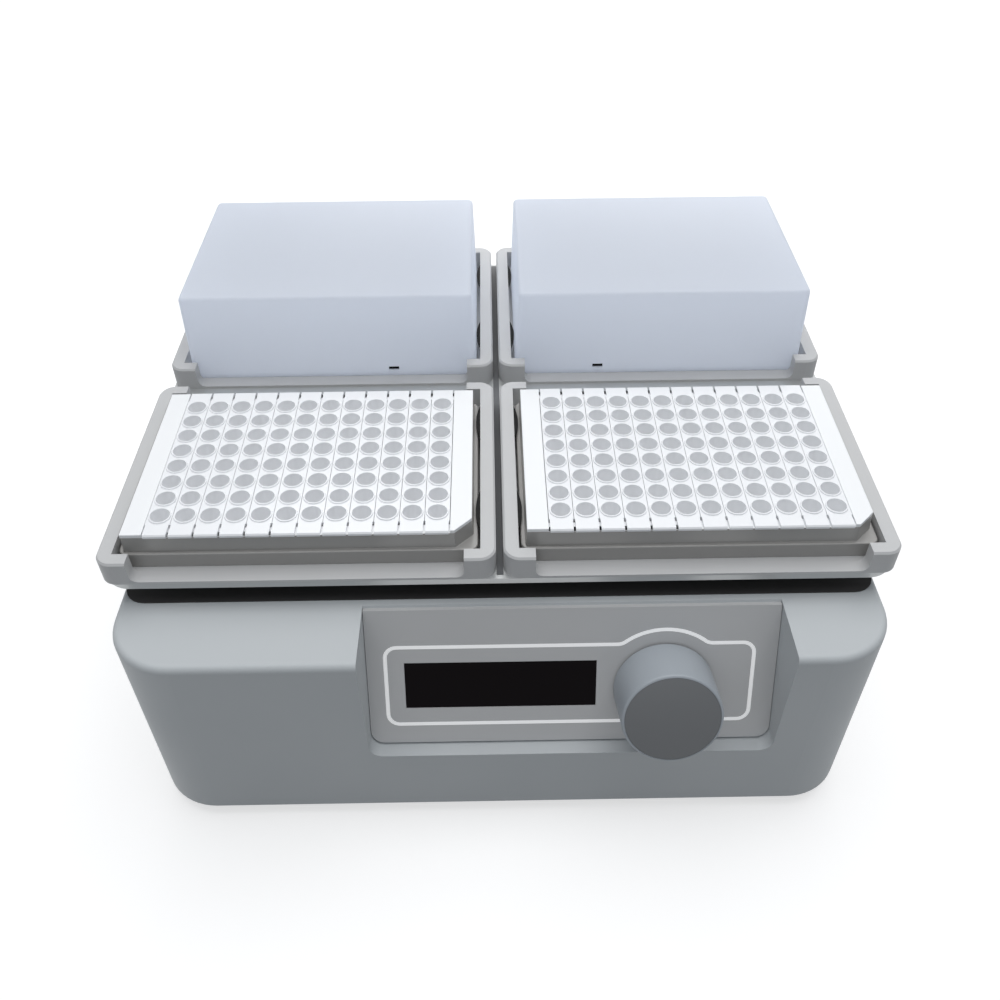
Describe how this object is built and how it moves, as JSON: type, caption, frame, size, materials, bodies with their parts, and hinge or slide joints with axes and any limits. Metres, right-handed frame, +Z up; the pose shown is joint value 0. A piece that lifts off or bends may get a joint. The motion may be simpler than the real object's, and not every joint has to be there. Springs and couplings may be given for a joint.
{
  "type": "microplate shaker",
  "caption": "Heated orbital microplate shaker with a slanted control panel and knob, tray platform, microplates in front and tall covers behind.",
  "frame": {"origin": "on the bench, under the middle of the whole envelope", "axes": "+Z up, control panel facing -Y, +X to the right of someone who faces the panel"},
  "size_m": [0.2834, 0.272, 0.1444],
  "materials": {
    "housing": "fine moulded texture",
    "pan": "powder coat",
    "rubber": "matte",
    "screw": "zinc plated",
    "fascia": "printed film",
    "window": "dark tinted",
    "board": "solder mask",
    "module": "matte",
    "encoder": "matte",
    "brass": "plated",
    "knob": "satin",
    "steel": "ground",
    "can": "satin",
    "copper": "wound wire",
    "aluminium": "fine blasted",
    "tray": "fine blasted, anodised",
    "mat": "silicone heater",
    "clip": "matte",
    "socket": "satin",
    "white": "clean moulding",
    "clear": "satin"
  },
  "bodies": {
    "base": {"housing_shell": "housing", "base_pan": "pan", "rubber_feet": "rubber", "base_screws": "screw", "fascia_panel": "fascia", "display_window": "window", "display_module": "module", "control_board": "board", "board_posts": "brass", "encoder_body": "encoder", "encoder_nut": "brass", "drive_deck": "aluminium", "deck_pillars": "steel", "deck_screws": "screw", "motor_can": "can", "motor_stator": "copper", "main_bearing": "steel", "idler_bearings": "brass", "power_supply": "board", "main_board": "board", "board_standoffs": "brass", "speed_sensor": "encoder", "inlet_socket": "socket", "inlet_blades": "brass", "switch_frame": "socket"},
    "push_switch": {"switch_plunger": "encoder"},
    "knob": {"encoder_shaft": "steel", "knob": "knob"},
    "rocker": {"power_rocker": "socket"},
    "crank": {"eccentric_crank": "steel", "motor_rotor": "steel", "counterweight": "brass"},
    "platform": {"platform_plate": "aluminium", "platform_hub": "aluminium", "hub_bearing": "steel", "idler_cups": "aluminium", "heater_mats": "mat", "hub_screws": "screw", "tray_screws": "screw", "tray_front_left": "tray", "tray_front_right": "tray", "tray_rear_left": "tray", "tray_rear_right": "tray"},
    "idler_right": {"idler_crank_right": "steel"},
    "idler_left": {"idler_crank_left": "steel"},
    "idler_rear": {"idler_crank_rear": "steel"},
    "idler_front": {"idler_crank_front": "steel"},
    "clips_front_left": {"plate_clips_front_left": "clip"},
    "clips_front_right": {"plate_clips_front_right": "clip"},
    "clips_rear_left": {"plate_clips_rear_left": "clip"},
    "clips_rear_right": {"plate_clips_rear_right": "clip"},
    "microplate_left": {"microplate_frame_left": "white", "well_strips_left": "white"},
    "cover_left": {"cover_left": "clear"},
    "microplate_right": {"microplate_frame_right": "white", "well_strips_right": "white"},
    "cover_right": {"cover_right": "clear"}
  },
  "joints": [
    {"name": "knob_push", "type": "slide", "parent": "base", "child": "push_switch", "axis": [0, 0.9363, -0.3513], "range_m": [0, 0.0005], "stiffness_N_per_m": 4000, "springref_m": -0.0004},
    {"name": "knob_turn", "type": "hinge", "parent": "push_switch", "child": "knob", "pos_m": [0.0598, -0.11002, 0.06304], "axis": [0, -0.9363, 0.3513], "continuous": true},
    {"name": "power_rock", "type": "hinge", "parent": "base", "child": "rocker", "pos_m": [-0.058, 0.13118, 0.034], "axis": [-1, 0, 0], "range_deg": [0, 16]},
    {"name": "crank_spin", "type": "hinge", "parent": "base", "child": "crank", "pos_m": [0, 0.01643, 0.07], "axis": [0, 0, 1], "continuous": true},
    {"name": "platform_turn", "type": "hinge", "parent": "crank", "child": "platform", "pos_m": [0, 0.01743, 0.09], "axis": [0, 0, 1], "continuous": true},
    {"name": "idler_right_spin", "type": "hinge", "parent": "base", "child": "idler_right", "pos_m": [0.1, 0.01643, 0.07], "axis": [0, 0, 1], "continuous": true},
    {"name": "idler_left_spin", "type": "hinge", "parent": "base", "child": "idler_left", "pos_m": [-0.1, 0.01643, 0.07], "axis": [0, 0, 1], "continuous": true},
    {"name": "idler_rear_spin", "type": "hinge", "parent": "base", "child": "idler_rear", "pos_m": [0, 0.09643, 0.07], "axis": [0, 0, 1], "continuous": true},
    {"name": "idler_front_spin", "type": "hinge", "parent": "base", "child": "idler_front", "pos_m": [0, -0.06357, 0.07], "axis": [0, 0, 1], "continuous": true},
    {"name": "clips_front_left_press", "type": "slide", "parent": "platform", "child": "clips_front_left", "axis": [1, 0, 0], "range_m": [0, 0.0017], "stiffness_N_per_m": 800, "springref_m": -0.0005},
    {"name": "clips_front_right_press", "type": "slide", "parent": "platform", "child": "clips_front_right", "axis": [-1, 0, 0], "range_m": [0, 0.0017], "stiffness_N_per_m": 800, "springref_m": -0.0005},
    {"name": "clips_rear_left_press", "type": "slide", "parent": "platform", "child": "clips_rear_left", "axis": [1, 0, 0], "range_m": [0, 0.0017], "stiffness_N_per_m": 800, "springref_m": -0.0005},
    {"name": "clips_rear_right_press", "type": "slide", "parent": "platform", "child": "clips_rear_right", "axis": [-1, 0, 0], "range_m": [0, 0.0017], "stiffness_N_per_m": 800, "springref_m": -0.0005},
    {"name": "microplate_left_lift", "type": "slide", "parent": "platform", "child": "microplate_left", "axis": [0, 0, 1], "range_m": [0, 0.06]},
    {"name": "microplate_right_lift", "type": "slide", "parent": "platform", "child": "microplate_right", "axis": [0, 0, 1], "range_m": [0, 0.06]},
    {"name": "cover_left_lift", "type": "slide", "parent": "platform", "child": "cover_left", "axis": [0, 0, 1], "range_m": [0, 0.06]},
    {"name": "cover_right_lift", "type": "slide", "parent": "platform", "child": "cover_right", "axis": [0, 0, 1], "range_m": [0, 0.06]}
  ],
  "couplings": [
    {"joint": "crank_spin", "follows": "platform_turn", "ratio": -1},
    {"joint": "idler_right_spin", "follows": "platform_turn", "ratio": -1},
    {"joint": "idler_left_spin", "follows": "platform_turn", "ratio": -1},
    {"joint": "idler_rear_spin", "follows": "platform_turn", "ratio": -1},
    {"joint": "idler_front_spin", "follows": "platform_turn", "ratio": -1}
  ]
}
